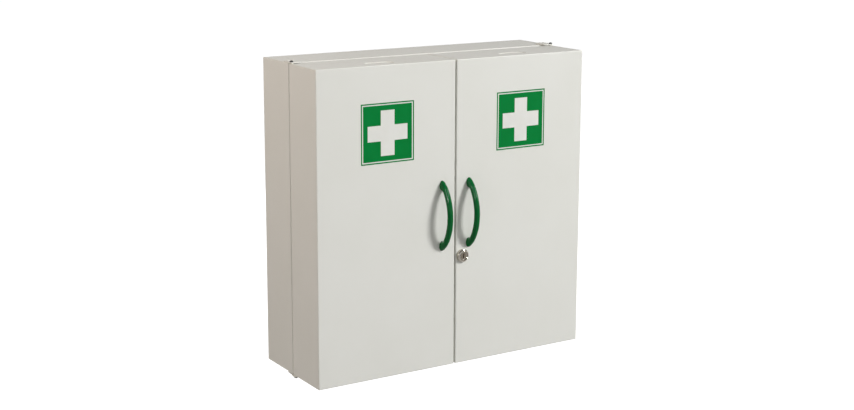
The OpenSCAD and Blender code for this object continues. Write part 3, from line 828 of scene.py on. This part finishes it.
film_finish, ink_finish = sign_film(), sign_ink()
first_aid_sign("left_door", film_finish, ink_finish)
first_aid_sign("right_door", film_finish, ink_finish)
bow_handle("left_door", "left_handle")
bow_handle("right_door", "right_handle")
handle_screws("left", "left_door")
handle_screws("right", "right_door")
lock_housing()
chamfered_nut()
cam_screw()
blind_rivets()
for level in ("upper", "lower"):
    for side in ("left", "right"):
        eased_edges(0.25 * MM, f"{level}_{side}_hinge_plate", f"{level}_{side}_hinge_pin")
        eased_edges(0.3 * MM, f"{level}_{side}_catch")
eased_edges(0.2 * MM, "lock_cam", "lock_plug", "catch_magnets")


# ---- stage, light and camera ----

def lamp(name, way, distance, width, height, power, colour=(1, 1, 1), along=(0, 0, 1)):
    """A rectangular lamp that faces the cabinet, its height as near along a direction as that allows."""
    made = bpy.data.lights.new(name, "AREA")
    made.shape = "RECTANGLE"
    made.size = width
    made.size_y = height
    made.energy = power
    made.color = colour
    holder = bpy.data.objects.new(name, made)
    bpy.context.collection.objects.link(holder)
    back = Vector(way).normalized()
    side = Vector(along).cross(back).normalized()
    turn = Matrix((side, back.cross(side), back)).transposed()
    holder.matrix_world = Matrix.Translation(LIT_POINT + back * distance) @ turn.to_4x4()
    return holder


def softbox(name, way, distance, size, power, colour=(1, 1, 1)):
    """A square lamp for the paint; gloss doesn't show it."""
    lamp(name, way, distance, size, size, power, colour).visible_glossy = False


def streak_light(name, way):
    """A strip that only gloss shows, as a thin streak down each handle."""
    strip = lamp(name, way, 2.4, STREAK_WIDTH, STREAK_LENGTH, STREAK_POWER, along=(0, 0.7, 0.7))
    strip.visible_diffuse = False


def studio_world():
    """Even grey light on the object, with a white backdrop for the camera and a dim one for gloss."""
    world = bpy.data.worlds.new("studio")
    world.use_nodes = True
    tree = Tree(world.node_tree)
    path = tree.add("LightPath").outputs
    height = tree.add("SeparateXYZ", {"Vector": tree.add("TexCoord").outputs["Generated"]}).outputs["Z"]
    gloss = tree.spread(height, 0.10, 0.35, GLOSS_HORIZON, GLOSS_LEVEL)
    lit = tree.spread(path["Is Glossy Ray"], 0.0, 1.0, AMBIENT, gloss)
    seen = tree.math("MAXIMUM", path["Is Camera Ray"], path["Is Transmission Ray"])
    strength = tree.spread(seen, 0.0, 1.0, lit, 1.0)
    light = tree.add("Background", {"Color": (1.0, 1.0, 1.0, 1.0), "Strength": strength})
    tree.feed(tree.add("OutputWorld").inputs["Surface"], light.outputs["Background"])
    bpy.context.scene.world = world


def studio_floor():
    """A pale floor that shows the camera white, less the object's shadow, and is clear from below."""
    bpy.ops.mesh.primitive_plane_add(size=FLOOR_SIZE, location=(0, 0, cad_bounds[0].z - FLOOR_DROP))
    floor = bpy.context.object
    floor.name = "studio_floor"
    made, tree = material("floor_paper")
    shade = effect(tree, "colour_drift", Tone=FLOOR_TONE, Other_Tone=FLOOR_OTHER_TONE, Scale=2.0)["Color"]
    paper = tree.add("BsdfDiffuse", {"Color": shade})
    glow = tree.add("Emission", {"Color": (1, 1, 1, 1), "Strength": FLOOR_GLOW})
    both = tree.add("AddShader", {0: paper.outputs[0], 1: glow.outputs[0]})
    seen = tree.add("LightPath").outputs["Is Camera Ray"]
    top = tree.add("MixShader", {0: seen, 1: paper.outputs[0], 2: both.outputs[0]})
    below = tree.add("NewGeometry").outputs["Backfacing"]
    clear = tree.add("BsdfTransparent")
    one_sided = tree.add("MixShader", {0: below, 1: top.outputs[0], 2: clear.outputs[0]})
    tree.feed(tree.add("OutputMaterial").inputs["Surface"], one_sided.outputs[0])
    floor.data.materials.append(made)


def camera():
    """The photograph's view of the cabinet."""
    lens = bpy.data.cameras.new("camera")
    lens.lens = CAMERA_LENS
    lens.shift_y = CAMERA_SHIFT_Y
    holder = bpy.data.objects.new("camera", lens)
    bpy.context.collection.objects.link(holder)
    turn = Matrix.Rotation(-math.radians(CAMERA_TURN), 4, "Z")
    tilt = Matrix.Rotation(math.radians(90 - CAMERA_TILT), 4, "X")
    roll = Matrix.Rotation(math.radians(CAMERA_ROLL), 4, "Z")
    holder.matrix_world = Matrix.Translation(CAMERA_PLACE) @ turn @ tilt @ roll
    bpy.context.scene.camera = holder


studio_world()
studio_floor()
softbox("key_softbox", (0.546, -0.70, 0.462), 5.0, KEY_SIZE, KEY_POWER)
softbox("front_softbox", (-0.10, -1.0, 0.62), 1.4, 0.6, FILL_POWER)
softbox("left_card", (-0.95, 0.10, 0.60), 1.6, 1.1, CARD_POWER, (1.0, 0.86, 0.76))
softbox("back_softbox", (0.05, 1.0, 0.05), 3.0, 1.0, BACK_POWER)
streak_light("left_strip", (-0.702, -0.474, 0.532))
streak_light("right_strip", (0.651, -0.516, 0.556))
camera()
bpy.context.scene.view_settings.view_transform = "Standard"
